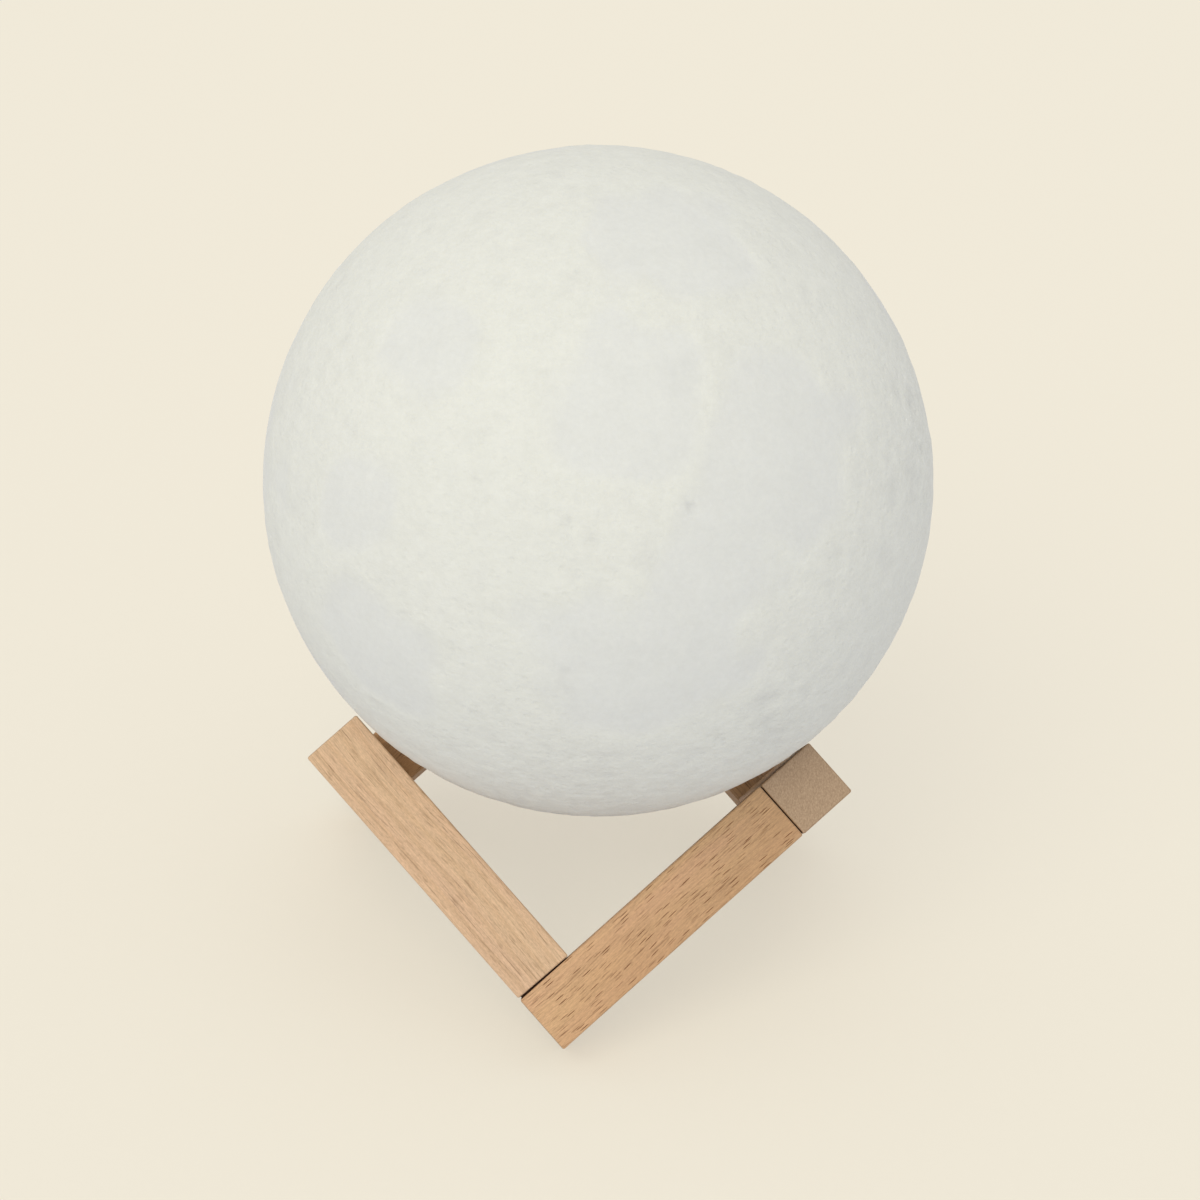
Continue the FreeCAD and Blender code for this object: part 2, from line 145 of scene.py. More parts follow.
def beech(name, index, cut_deg, tones, ray_strength, far_end_shading):
    """Beech for one bar, in millimetres along the bar, round its rings and out from its pith.

    The cut angle turns the rings in the bar's section. The last argument is how light the wood
    is painted at the bar's far end, against 1 at its near end: a painted shade, for the shade of
    the ball over that end. Beech shows rings a few millimetres apart, golden and rosy zones, long
    fine fibres, and rays, which are dark dashes on a flat-sawn face and hardly show on a
    quarter-sawn one. The end grain is darker, with pores.
    """
    golden, rosy, late, dash = tones
    corner, bar_frame = bar_place(index)
    cut = math.radians(cut_deg)
    outward = (bar_frame @ Matrix.Rotation(cut, 3, "X")).col[2]

    finish, tree, shader = new_finish(name, Roughness=0.62, IOR=1.45, Specular_IOR_Level=0.35)
    place = add(tree, "TexCoord")
    bar_mm = add(tree, "Mapping", {"Vector": place.outputs["Object"], "Location": corner,
                                   "Rotation": bar_frame.to_euler(), "Scale": (MM, MM, MM)},
                 vector_type="TEXTURE")
    wood = add(tree, "Mapping", {"Vector": bar_mm, "Rotation": (-cut, 0, 0)})
    slow = add(tree, "VectorMath", {0: wood, 1: per_cell(WANDER_MM)}, operation="MULTIPLY")
    wander = add(tree, "TexNoise", {"Vector": slow, "Scale": 1.0, "Detail": 2.0})
    grain = add(tree, "VectorMath", {0: wander.outputs["Color"], 1: (0, DRIFT_MM, DRIFT_MM),
                                     2: wood}, operation="MULTIPLY_ADD")

    broad = add(tree, "VectorMath", {0: grain, 1: per_cell(ZONE_MM)}, operation="MULTIPLY")
    zones = add(tree, "TexNoise", {"Vector": broad, "Scale": 1.0, "Detail": 3.0})
    zone_tone = add(tree, "ValToRGB", {"Fac": zones})
    zone_tone.color_ramp.elements[0].position = 0.40
    zone_tone.color_ramp.elements[0].color = linear(golden)
    zone_tone.color_ramp.elements[1].position = 0.62
    zone_tone.color_ramp.elements[1].color = linear(rosy)

    section = add(tree, "VectorMath", {0: grain, 1: (0, 1, 1)}, operation="MULTIPLY")
    from_pith = add(tree, "VectorMath", {0: section, 1: (0, 0, PITH_DISTANCE_MM)},
                    operation="ADD")
    distance = add(tree, "VectorMath", {0: from_pith}, operation="LENGTH")
    rings = add(tree, "Math", {0: distance, 1: RING_WIDTH_MM}, operation="DIVIDE")
    ring_share = add(tree, "Math", {0: rings}, operation="FRACT")
    late_share = add(tree, "MapRange", {"Value": ring_share, "From Min": 0.5, "From Max": 0.95,
                                        "To Max": 0.45})
    ringed = add(tree, "Mix", {"Factor": late_share, "A": zone_tone, "B": linear(late)},
                 data_type="RGBA")

    thin = add(tree, "VectorMath", {0: grain, 1: per_cell(FIBRE_MM)}, operation="MULTIPLY")
    fibres = add(tree, "TexNoise", {"Vector": thin, "Scale": 1.0, "Detail": 3.0,
                                    "Roughness": 0.65})
    short = add(tree, "VectorMath", {0: grain, 1: per_cell(FLECK_MM)}, operation="MULTIPLY")
    flecks = add(tree, "TexNoise", {"Vector": short, "Scale": 1.0, "Detail": 2.0,
                                    "Roughness": 0.7})
    fibre_mix = add(tree, "Math", {0: fibres, 1: flecks}, operation="ADD")
    fibre_light = add(tree, "MapRange", {"Value": fibre_mix, "From Min": 0.75, "From Max": 1.25,
                                         "To Min": 0.83, "To Max": 1.17})
    bar_axes = add(tree, "SeparateXYZ", {0: bar_mm})
    # Painted shade: the wood darkens towards the bar's far end, which lies under the ball
    painted_shade_along_bar = add(tree, "MapRange", {"Value": bar_axes.outputs["X"],
                                          "From Max": SHADE_FADE_LENGTH_MM, "To Min": 1.0,
                                          "To Max": far_end_shading})
    light = add(tree, "Math", {0: fibre_light, 1: painted_shade_along_bar}, operation="MULTIPLY")
    fibred = add(tree, "VectorMath", {0: ringed, "Scale": light}, operation="SCALE")
    vessel_share = add(tree, "MapRange", {"Value": fibres, "From Min": 0.40, "From Max": 0.28,
                                          "To Max": 0.55})
    lined = add(tree, "Mix", {"Factor": vessel_share, "A": fibred, "B": linear(dash)},
                data_type="RGBA")

    # Rays are ribbons that run straight out from the pith, so they are placed in two dimensions
    ray_cells = add(tree, "VectorMath", {0: grain, 1: (*per_cell(RAY_MM), 0)},
                    operation="MULTIPLY")
    rays = add(tree, "TexVoronoi", {"Vector": ray_cells, "Scale": 1.0}, voronoi_dimensions="2D")
    ray_core = add(tree, "MapRange", {"Value": rays, "From Min": 0.20, "From Max": 0.11},
                   interpolation_type="SMOOTHSTEP")
    ray_weight = add(tree, "SeparateColor", {"Color": rays.outputs["Color"]})
    ray_dark = add(tree, "Math", {0: ray_core, 1: ray_weight}, operation="MULTIPLY")
    tilt = add(tree, "VectorMath", {0: place.outputs["Normal"], 1: outward},
               operation="DOT_PRODUCT")
    flat_sawn = add(tree, "Math", {0: tilt}, operation="ABSOLUTE")
    ray_show = add(tree, "MapRange", {"Value": flat_sawn, "To Min": 0.1 * ray_strength,
                                      "To Max": ray_strength})
    ray_share = add(tree, "Math", {0: ray_dark, 1: ray_show}, operation="MULTIPLY",
                    use_clamp=True)
    sides = add(tree, "Mix", {"Factor": ray_share, "A": lined, "B": linear(dash)},
                data_type="RGBA")

    pore_cells = add(tree, "VectorMath", {0: wood, 1: per_cell(PORE_MM)}, operation="MULTIPLY")
    pores = add(tree, "TexNoise", {"Vector": pore_cells, "Scale": 1.0, "Detail": 2.0,
                                   "Roughness": 0.75})
    end_tone = add(tree, "ValToRGB", {"Fac": pores})
    end_tone.color_ramp.elements[0].position = 0.25
    end_tone.color_ramp.elements[0].color = linear("987D63")
    end_tone.color_ramp.elements[1].position = 0.75
    end_tone.color_ramp.elements[1].color = linear("BFA488")
    end_tilt = add(tree, "VectorMath", {0: place.outputs["Normal"], 1: bar_frame.col[0]},
                   operation="DOT_PRODUCT")
    end_facing = add(tree, "Math", {0: end_tilt}, operation="ABSOLUTE")
    end_share = add(tree, "MapRange", {"Value": end_facing, "From Min": 0.6, "From Max": 0.9})
    whole = add(tree, "Mix", {"Factor": end_share, "A": sides, "B": end_tone}, data_type="RGBA")

    # Glue has darkened the wood inside the joints, the butting end and the patch that it meets,
    # and painted shade darkens them further, for the deep shade in the gap
    butting = add(tree, "MapRange", {"Value": end_tilt, "From Min": 0.98, "From Max": 0.995})
    met_along = add(tree, "Math", {0: bar_axes.outputs["X"], 1: 0.0, 2: JOINT_PATCH_MM},
                    operation="COMPARE")
    met_across = add(tree, "Math", {0: bar_axes.outputs["Z"], 1: 0.0, 2: JOINT_PATCH_MM},
                     operation="COMPARE")
    met_side = add(tree, "Math", {0: bar_axes.outputs["Y"], 1: JOINT_DEPTH_MM},
                   operation="GREATER_THAN")
    met_square = add(tree, "Math", {0: met_along, 1: met_across}, operation="MULTIPLY")
    patch = add(tree, "Math", {0: met_square, 1: met_side}, operation="MULTIPLY")
    glue_and_gap_shade_share = add(tree, "Math", {0: butting, 1: patch}, operation="MAXIMUM")
    # Dark tone: partly glue-stained wood, partly painted shade of the gap
    glue_and_gap_shaded = add(tree, "Mix", {"Factor": glue_and_gap_shade_share, "A": whole, "B": linear("35210F")},
                  data_type="RGBA")

    relief = add(tree, "Math", {0: fibres, 1: ray_share}, operation="SUBTRACT")
    bump = add(tree, "Bump", {"Height": relief, "Strength": 0.6, "Distance": 0.08 * MM})
    fill(tree, shader, {"Base Color": glue_and_gap_shaded, "Normal": bump})
    return finish


# The front right bar is flat-sawn on the face that shows, with strong dashes, and the front left
# one is paler and nearly quarter-sawn. The left one is a board of its own. The right bar and the
# two rear ones are darker, partly from their own boards and partly as painted shade, for the
# shade that falls on them under the ball.
# Each is (side, cut angle in degrees, its golden, rosy, late-wood and dash tones, ray strength,
# and how light the far end is painted, as painted shade of the ball over it).
board_tones_and_shade = [("front_right", 6, ("CAA37A", "CCA27D", "BC9069", "6B3F1A"), 1.0, 0.84),
          ("right", 40, ("AA8863", "AB886A", "977551", "5F3F21"), 0.6, 1.0),
          ("rear_right", 100, ("AC8760", "AC896A", "987454", "5F3F21"), 0.6, 1.0),
          ("rear_left", 15, ("AE865C", "AF8969", "987351", "573819"), 0.8, 1.0),
          ("left", 65, ("C09C72", "BE9877", "A9845E", "6E4B2A"), 0.5, 1.0),
          ("front_left", 34, ("D0AF8D", "D1AE8E", "C29F7B", "76522F"), 0.5, 1.0)]
for index, (side, cut_deg, tones, ray_strength, far_end_shading) in enumerate(board_tones_and_shade):
    nodes[side + "_bar"].material_slots[0].material = beech(
        "beech_" + side, index, cut_deg, tones, ray_strength, far_end_shading)


# --- Corner dowels -------------------------------------------------------------------------
# Six turned beech pegs, one hidden in each corner, glued dry, so the wood is pale and unoiled.
# Each lies along the bar whose end it pins, so its fibres are drawn alike from every side.


def two_tone(name, tones, cell, noise, spread=(0.0, 1.0), bump=None, **uniform):
    """A material whose two tones mingle in cells of a real size, which may stand up as well.

    The noise is a dictionary of its further inputs, the spread is where on it the two tones lie,
    and the bump is its strength and its height.
    """
    finish, tree, shader = new_finish(name, **uniform)
    place = add(tree, "TexCoord")
    grain = add(tree, "TexNoise", {"Vector": place.outputs["Object"], "Scale": 1 / cell, **noise})
    tone = add(tree, "ValToRGB", {"Fac": grain})
    for element, position, code in zip(tone.color_ramp.elements, spread, tones):
        element.position = position
        element.color = linear(code)
    fill(tree, shader, {"Base Color": tone})
    if bump:
        strength, height = bump
        fill(tree, shader, {"Normal": add(tree, "Bump", {"Height": grain, "Strength": strength,
                                                         "Distance": height})})
    return finish


nodes["corner_dowels"].material_slots[0].material = two_tone(
    "beech_dowels_turned_dry", ("C9A97F", "D9BE96"), 0.8 * MM, {"Detail": 3.0, "Roughness": 0.6},
    spread=(0.35, 0.65), bump=(0.5, 0.05 * MM), Roughness=0.75, IOR=1.45)


# --- Glue in the corners -------------------------------------------------------------------
# A film of wood glue fills each open joint up to about a millimetre from its edges. Its near-black
# tone is partly the glue, dried dark and uneven, and partly painted shade for the deep shade in
# the gap, which is what draws the joints as dark lines.

BAR_LENGTH = 0.0715
JOINT_GAP = CORNER_PITCH - BAR_LENGTH
FRONT_END_SKEW = math.radians(1.2)
GLUE_INSET = 0.0006
GLUE_RAGGED = 0.0003
GLUE_CELLS = 14
GLUE_SEED = 11

glue_films = []
chance = np.random.default_rng(GLUE_SEED)
for index in range(6):
    bpy.ops.object.select_all(action="DESELECT")
    bpy.ops.mesh.primitive_grid_add(x_subdivisions=GLUE_CELLS, y_subdivisions=GLUE_CELLS,
                                    size=BAR_SECTION - 2 * GLUE_INSET)
    film = bpy.context.object
    rim_reach = max(corner.co.x for corner in film.data.vertices)
    for corner in film.data.vertices:
        if max(abs(corner.co.x), abs(corner.co.y)) > rim_reach * 0.99:
            corner.co *= 1 - chance.uniform(0, GLUE_RAGGED) / rim_reach
    bpy.ops.object.mode_set(mode="EDIT")
    bpy.ops.mesh.select_all(action="SELECT")
    bpy.ops.mesh.extrude_region_move(TRANSFORM_OT_translate={"value": (0, 0, 1)})
    bpy.ops.mesh.select_all(action="SELECT")
    bpy.ops.mesh.normals_make_consistent(inside=False)
    bpy.ops.object.mode_set(mode="OBJECT")

    skew = FRONT_END_SKEW if index == 5 else 0
    for corner in film.data.vertices:
        across, up, depth = corner.co
        thickness = JOINT_GAP + math.tan(skew) * (BAR_SECTION / 2 - up)
        met_face = CORNER_PITCH - BAR_SECTION / 2
        corner.co = (met_face - depth * thickness, across, up)
    start, bar_frame = bar_place(index)
    film.data.transform(Matrix.Translation(start) @ bar_frame.to_4x4())
    glue_films.append(film)

bpy.ops.object.select_all(action="DESELECT")
for film in glue_films:
    film.select_set(True)
bpy.context.view_layer.objects.active = glue_films[0]
bpy.ops.object.join()
glue = bpy.context.object
glue.name = "corner_glue_and_gap_shade"

# Near-black: partly dried glue, partly painted shade of the deep gap
glue.data.materials.append(two_tone(
    "wood_glue_dark_and_gap_shade", ("140703", "3C220E"), 0.9 * MM, {"Detail": 2.0},
    bump=(0.6, 0.05 * MM), Roughness=0.6, IOR=1.5, Specular_IOR_Level=0.1))
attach(glue, "stand")


# --- Moon shade ----------------------------------------------------------------------------
# One hollow ball with a 2 mm wall, printed in white PLA on its foot, in layers too fine to see
# singly. The relief is in its outside: wide shallow plains, craters and a fine orange peel.

SHADE_RADIUS = 0.075
SHADE_WALL = 0.002
FOOT_RADIUS = 0.0215
NECK_BORE = 0.0195
NECK_WALL = 0.0018
NECK_HEIGHT = 0.008
OUTSIDE_GRID = (400, 200)
INSIDE_GRID = (100, 50)

centre_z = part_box("moon_shade")[1].z - SHADE_RADIUS
foot_z = centre_z - math.sqrt(SHADE_RADIUS ** 2 - FOOT_RADIUS ** 2)
inside_radius = SHADE_RADIUS - SHADE_WALL
neck_outer = NECK_BORE + NECK_WALL
neck_root_z = centre_z - math.sqrt(inside_radius ** 2 - neck_outer ** 2)


def sphere_cut_at(name, radius, segments, rings, cut_z):
    """A ball round the middle of the shade, cut off level at a height, with what is above kept."""
    bpy.ops.object.select_all(action="DESELECT")
    bpy.ops.mesh.primitive_uv_sphere_add(segments=segments, ring_count=rings, radius=radius,
                                         location=(0, 0, centre_z))
    ball = bpy.context.object
    ball.name = name
    bpy.ops.object.transform_apply(location=True, rotation=True, scale=True)
    bpy.ops.object.mode_set(mode="EDIT")
    bpy.ops.mesh.select_all(action="SELECT")
    bpy.ops.mesh.bisect(plane_co=(0, 0, cut_z), plane_no=(0, 0, 1), clear_inner=True)
    bpy.ops.object.mode_set(mode="OBJECT")
    return ball


def select_open_edges():
    """In edit mode, select only the edges that bound a hole."""
    bpy.ops.mesh.select_mode(type="EDGE")
    bpy.ops.mesh.select_all(action="DESELECT")
    bpy.ops.mesh.select_non_manifold(extend=False, use_wire=False, use_boundary=True,
                                     use_multi_face=False, use_non_contiguous=False,
                                     use_verts=False)


outside = sphere_cut_at("moon_shade_printed", SHADE_RADIUS, *OUTSIDE_GRID, foot_z)
bpy.ops.object.mode_set(mode="EDIT")
select_open_edges()
bpy.ops.mesh.extrude_edges_move()
bpy.ops.transform.resize(value=(NECK_BORE / FOOT_RADIUS, NECK_BORE / FOOT_RADIUS, 1),
                         center_override=(0, 0, foot_z))
bpy.ops.mesh.extrude_edges_move(TRANSFORM_OT_translate={"value": (0, 0, NECK_HEIGHT)})
bpy.ops.mesh.extrude_edges_move()
bpy.ops.transform.resize(value=(neck_outer / NECK_BORE, neck_outer / NECK_BORE, 1),
                         center_override=(0, 0, foot_z + NECK_HEIGHT))
neck_drop = neck_root_z - foot_z - NECK_HEIGHT
bpy.ops.mesh.extrude_edges_move(TRANSFORM_OT_translate={"value": (0, 0, neck_drop)})
bpy.ops.object.mode_set(mode="OBJECT")

inside = sphere_cut_at("moon_shade_inside", inside_radius, *INSIDE_GRID, neck_root_z)
bpy.ops.object.select_all(action="DESELECT")
inside.select_set(True)
outside.select_set(True)
bpy.context.view_layer.objects.active = outside
bpy.ops.object.join()
bpy.ops.object.mode_set(mode="EDIT")
select_open_edges()
bpy.ops.mesh.bridge_edge_loops()
bpy.ops.mesh.select_all(action="SELECT")
bpy.ops.mesh.normals_make_consistent(inside=False)
bpy.ops.object.mode_set(mode="OBJECT")

# Relief, all of it let into the ball, so that nothing stands nearer to the bars than the CAD ball
SEA_DEPTH_MM = 0.15
GROUND_DEPTHS_MM = (0.018, 0.055)
SHORE_RAGGED = 0.3
SHORE_WIDTH = 0.4
RIM_SHARE = 0.3
RIM_PLACE = 1.05
RIM_WIDTH = 0.22
BOWL_REACH = 1.7
SEA_SOFTNESS = 0.75
FOOT_FADE_MM = 7.0
SKIN_MARGIN = 0.2 * MM
FOOT_MARGIN = 0.05 * MM

# Ups and downs of the shores and of the ground, as (waves, shortest and longest in mm, seed)
SHORE_WAVES = (24, (12, 40), 3)
GROUND_WAVES = (80, (3.6, 7.0), 5)

# Seas, which are the wide smooth plains, as (turn from the front, height angle, radius in mm)
seas = [(6, 40, 14), (34, 31, 16), (7, -5, 17), (25, 69, 15), (-42, 42, 10), (-45, 14, 9),
        (18, 14, 12), (-39, -12, 13), (-98, 4, 26), (-76, -34, 16), (118, 22, 28), (98, -36, 17),
        (175, -8, 30), (-150, 45, 24), (160, 52, 18), (-138, -38, 18)]

# Rugged ground, as (turn, height angle, radius in mm, how many times rougher)
rugged = [(78, 18, 20, 2.7), (36, -22, 20, 2.0), (-4, -42, 26, 2.2), (-72, 24, 18, 1.7),
          (-22, 70, 18, 1.4), (145, 18, 26, 2.0), (-168, 22, 24, 2.0), (-120, -28, 26, 2.0),
          (80, -42, 22, 1.8), (-125, 24, 16, 1.8)]

# Craters as (how many, smallest and largest radius, least and greatest depth, all in mm)
CRATER_SEED = 7
crater_sizes = [(1500, 1.3, 2.4, 0.03, 0.10), (420, 2.4, 4.5, 0.04, 0.12),
                (60, 4.5, 9.0, 0.06, 0.13)]

# Marks that stand out, as (turn from the front, height angle, radius and depth in mm). The one
# with a depth below nothing is a mound.
marks = [(14.7, 23.1, 1.5, 0.48), (-5.6, 20.3, 1.4, 0.32), (-22.4, 24.3, 1.4, 0.34),
         (-4.0, -4.7, 1.4, 0.25), (-3.3, -8.5, 1.3, 0.25), (-7.6, -6.6, 3.6, -0.24),
         (15.1, 43.4, 6.0, 0.12), (-47.3, -32.0, 5.0, 0.12)]

mesh = outside.data
points = np.empty(len(mesh.vertices) * 3)
mesh.vertices.foreach_get("co", points)
points = points.reshape(-1, 3)
rays_out = points - np.array([0, 0, centre_z])
reach = np.linalg.norm(rays_out, axis=1)
unit = rays_out / reach[:, None]
on_outside = (reach > SHADE_RADIUS - SKIN_MARGIN) & (points[:, 2] > foot_z + FOOT_MARGIN)
skin = unit[on_outside]


def rolling(directions, waves, lengths_mm, seed):
    """Smooth ups and downs over the ball, about -1 to 1, as a sum of plane waves."""
    chance = np.random.default_rng(seed)
    total = np.zeros(len(directions))
    for _ in range(waves):
        heading = chance.normal(size=3)
        heading /= np.linalg.norm(heading)
        length = chance.uniform(*lengths_mm) / (SHADE_RADIUS / MM)
        start = chance.uniform(0, 6.28)
        total += np.sin(2 * math.pi * (directions @ heading) / length + start)
    return total / math.sqrt(waves)


def toward(turn_deg, height_deg):
    """Direction from the ball's middle, by its turn from the front and its height angle."""
    turn, height = math.radians(turn_deg), math.radians(height_deg)
    return np.array([math.sin(turn) * math.cos(height), -math.cos(turn) * math.cos(height),
                     math.sin(height)])


def distances(directions, centre):
    """How far each point of the skin is from one of them, in millimetres over the skin."""
    return np.arccos(np.clip(directions @ centre, -1, 1)) * (SHADE_RADIUS / MM)


def dig(centre, radius_mm, depth_mm, softness):
    """Press a bowl with a raised rim into the relief, softer where the ground is a sea."""
    near = np.flatnonzero(skin @ centre > math.cos(BOWL_REACH * radius_mm * MM / SHADE_RADIUS))
    away = distances(skin[near], centre) / radius_mm
    bowl = np.where(away < 1, -(1 - away ** 2), 0)
    rim = RIM_SHARE * np.exp(-((away - RIM_PLACE) / RIM_WIDTH) ** 2)
    relief[near] += depth_mm * (bowl + rim) * (1 - softness * (1 - highland[near]))


# Where it isn't sea it is highland, with a ragged shore between the two
highland = np.ones(len(skin))
ragged = SHORE_RAGGED * rolling(skin, *SHORE_WAVES)
for turn, height, radius in seas:
    away = distances(skin, toward(turn, height)) / radius
    highland = np.minimum(highland, np.clip((away - 1 + ragged) / SHORE_WIDTH, 0, 1))
relief = -SEA_DEPTH_MM * (1 - highland)
for turn, height, radius, rougher in rugged:
    away = distances(skin, toward(turn, height)) / radius
    highland = highland * (1 + (rougher - 1) * np.exp(-away ** 2))
smooth_ground, rough_ground = GROUND_DEPTHS_MM
ground = smooth_ground + (rough_ground - smooth_ground) * highland
relief += ground * rolling(skin, *GROUND_WAVES)
chance = np.random.default_rng(CRATER_SEED)
for count, small, large, shallow, deep in crater_sizes:
    for _ in range(count):
        centre = chance.normal(size=3)
        centre /= np.linalg.norm(centre)
        dig(centre, chance.uniform(small, large), chance.uniform(shallow, deep), SEA_SOFTNESS)
for turn, height, radius, depth in marks:
    dig(toward(turn, height), radius, depth, 0)

# The highest hundredth of the skin is pressed level with the CAD ball, and the foot stays plain
relief = np.minimum(relief - np.percentile(relief, 99), 0)
above_foot = (points[on_outside][:, 2] - foot_z) / MM
relief *= np.clip(above_foot / FOOT_FADE_MM, 0, 1)
points[on_outside] += skin * relief[:, None] * MM
mesh.vertices.foreach_set("co", points.ravel())
mesh.update()

depth_layer = mesh.attributes.new("relief_mm", "FLOAT", "POINT")
depths = np.zeros(len(points), np.float32)
depths[on_outside] = relief
depth_layer.data.foreach_set("value", depths)
highland_layer = mesh.attributes.new("highland", "FLOAT", "POINT")
shares = np.ones(len(points), np.float32)
shares[on_outside] = highland
highland_layer.data.foreach_set("value", shares)
bpy.ops.object.shade_smooth_by_angle(angle=math.radians(40))

# Colour goes by depth and ground: deeper is darker, as a painted shade in the hollows, and the
# plains are a touch cooler
HOLLOW_SHADE_DEPTHS_MM = (-0.85, -0.12)
HOLLOW_SHADE_MIDDLE = 0.42
PLAIN_TINT = (0.996, 0.998, 1.010, 1)
HIGHLAND_TINT = (1.003, 1.002, 0.990, 1)

# Cells of the skin's patterns. Single layers are too fine to show, so they are drawn in bands.
STAIN = 9 * MM
MOTTLE = 1.2 * MM
LUMP = (3.4 * MM, 3.4 * MM, 1.9 * MM)
LAYER_BAND = (9 * MM, 9 * MM, 0.7 * MM)
PIT = 2.3 * MM

finish, tree, shader = new_finish("pla_printed_white", Roughness=0.72, IOR=1.46,
                                  Specular_IOR_Level=0.3, Subsurface_Weight=0.15,
                                  Subsurface_Scale=1.5 * MM, Subsurface_Radius=(1.0, 0.95, 0.8))
place = add(tree, "TexCoord")
depth = add(tree, "Attribute", attribute_name="relief_mm")
rough = add(tree, "Attribute", attribute_name="highland")
# Painted shade: the deeper the relief, the darker its colour
hollow_shade_tone = add(tree, "ValToRGB", {"Fac": add(tree, "MapRange", {
    "Value": depth.outputs["Fac"], "From Min": HOLLOW_SHADE_DEPTHS_MM[0],
    "From Max": HOLLOW_SHADE_DEPTHS_MM[1]})})
hollow_shade_tone.color_ramp.elements[0].color = linear("C8C8C3")
hollow_shade_tone.color_ramp.elements[1].color = linear("E1E1DB")
hollow_shade_tone.color_ramp.elements.new(HOLLOW_SHADE_MIDDLE).color = linear("DADAD5")
stain = add(tree, "TexNoise", {"Vector": place.outputs["Object"], "Scale": 1 / STAIN,
                               "Detail": 4.0, "Roughness": 0.6})
stain_light = add(tree, "MapRange", {"Value": stain, "From Min": 0.35, "From Max": 0.65,
                                     "To Min": 0.986, "To Max": 1.008})
mottle = add(tree, "TexNoise", {"Vector": place.outputs["Object"], "Scale": 1 / MOTTLE,
                                "Detail": 3.0, "Roughness": 0.65})
mottle_light = add(tree, "MapRange", {"Value": mottle, "From Min": 0.3, "From Max": 0.7,
                                      "To Min": 0.975, "To Max": 1.02})
fine_light = add(tree, "Math", {0: stain_light, 1: mottle_light}, operation="MULTIPLY")
lump_place = add(tree, "Mapping", {"Vector": place.outputs["Object"], "Scale": per_cell(LUMP)})
lumps = add(tree, "TexNoise", {"Vector": lump_place, "Scale": 1.0, "Detail": 4.0,
                               "Roughness": 0.6})
lump_contrast = add(tree, "MapRange", {"Value": rough.outputs["Fac"], "From Min": 0.6,
                                       "From Max": 2.4, "To Min": 0.03, "To Max": 0.22})
lump_rise = add(tree, "Math", {0: lumps, 1: 0.5}, operation="SUBTRACT")
lump_light = add(tree, "Math", {0: lump_rise, 1: lump_contrast, 2: 1.0},
                 operation="MULTIPLY_ADD")
whole_light = add(tree, "Math", {0: fine_light, 1: lump_light}, operation="MULTIPLY")
ground_tint = add(tree, "Mix", {"Factor": rough.outputs["Fac"], "A": PLAIN_TINT,
                                "B": HIGHLAND_TINT}, data_type="RGBA")
tinted = add(tree, "VectorMath", {0: hollow_shade_tone, 1: ground_tint}, operation="MULTIPLY")
mottled = add(tree, "VectorMath", {0: tinted, "Scale": whole_light}, operation="SCALE")

# Heights in millimetres: lumps, printed layers, a fine grain, and pits too small for the mesh
layers = add(tree, "Mapping", {"Vector": place.outputs["Object"],
                               "Scale": per_cell(LAYER_BAND)})
layer_noise = add(tree, "TexNoise", {"Vector": layers, "Scale": 1.0, "Detail": 2.0})
lump_depth = add(tree, "MapRange", {"Value": rough.outputs["Fac"], "From Min": 0.6,
                                    "From Max": 2.4, "To Min": 0.02, "To Max": 0.45})
lump_mm = add(tree, "Math", {0: lumps, 1: lump_depth}, operation="MULTIPLY")
layer_mm = add(tree, "Math", {0: layer_noise, 1: 0.02, 2: lump_mm}, operation="MULTIPLY_ADD")
grain_depth = add(tree, "MapRange", {"Value": rough.outputs["Fac"], "To Min": 0.05,
                                     "To Max": 0.13})
grain_mm = add(tree, "Math", {0: mottle, 1: grain_depth, 2: layer_mm},
               operation="MULTIPLY_ADD")
pits = add(tree, "TexVoronoi", {"Vector": place.outputs["Object"], "Scale": 1 / PIT})
pit_floor = add(tree, "MapRange", {"Value": pits, "From Min": 0.14, "From Max": 0.36},
                interpolation_type="SMOOTHSTEP")
pit_depth = add(tree, "MapRange", {"Value": rough.outputs["Fac"], "To Min": 0.01,
                                   "To Max": 0.06})
height_mm = add(tree, "Math", {0: pit_floor, 1: pit_depth, 2: grain_mm},
                operation="MULTIPLY_ADD")
skin_bump = add(tree, "Bump", {"Height": height_mm, "Strength": 1.0, "Distance": MM})
fill(tree, shader, {"Base Color": mottled, "Normal": skin_bump})
outside.data.materials.append(finish)
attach(outside, "lamp")
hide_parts("moon_shade")


# --- Base cup ------------------------------------------------------------------------------
# A cup moulded in white ABS, plugged into the shade's neck, with a flange that closes its hole.
# The mould was spark-eroded, which leaves a fine matt grain, drawn here about twice its size.

SPARK_GRAIN = 0.3 * MM

white_abs, tree, shader = new_finish("abs_white_spark_eroded", Roughness=0.5, IOR=1.53,
                                     Specular_IOR_Level=0.45)
place = add(tree, "TexCoord")
spark_grain = add(tree, "TexNoise", {"Vector": place.outputs["Object"], "Scale": 1 / SPARK_GRAIN,
                                     "Detail": 2.0, "Roughness": 0.7})
flow = add(tree, "TexNoise", {"Vector": place.outputs["Object"], "Scale": 1 / (12 * MM),
                              "Detail": 2.0})
abs_tone = add(tree, "ValToRGB", {"Fac": flow})
abs_tone.color_ramp.elements[0].position = 0.3
abs_tone.color_ramp.elements[0].color = linear("E2E2DD")
abs_tone.color_ramp.elements[1].position = 0.7
abs_tone.color_ramp.elements[1].color = linear("E9E9E5")
grain_bump = add(tree, "Bump", {"Height": spark_grain, "Strength": 0.5, "Distance": 0.03 * MM})
fill(tree, shader, {"Base Color": abs_tone, "Normal": grain_bump})
nodes["base_cup"].material_slots[0].material = white_abs


# --- Touch ring ----------------------------------------------------------------------------
# A flat ring stamped from stainless steel and brushed while it turned, let into the cup's floor.
# The strokes run round it, so they are fine across the ring and several millimetres long.

STROKE_WIDTH = 0.12 * MM
STROKES_PER_RADIAN = 3.0

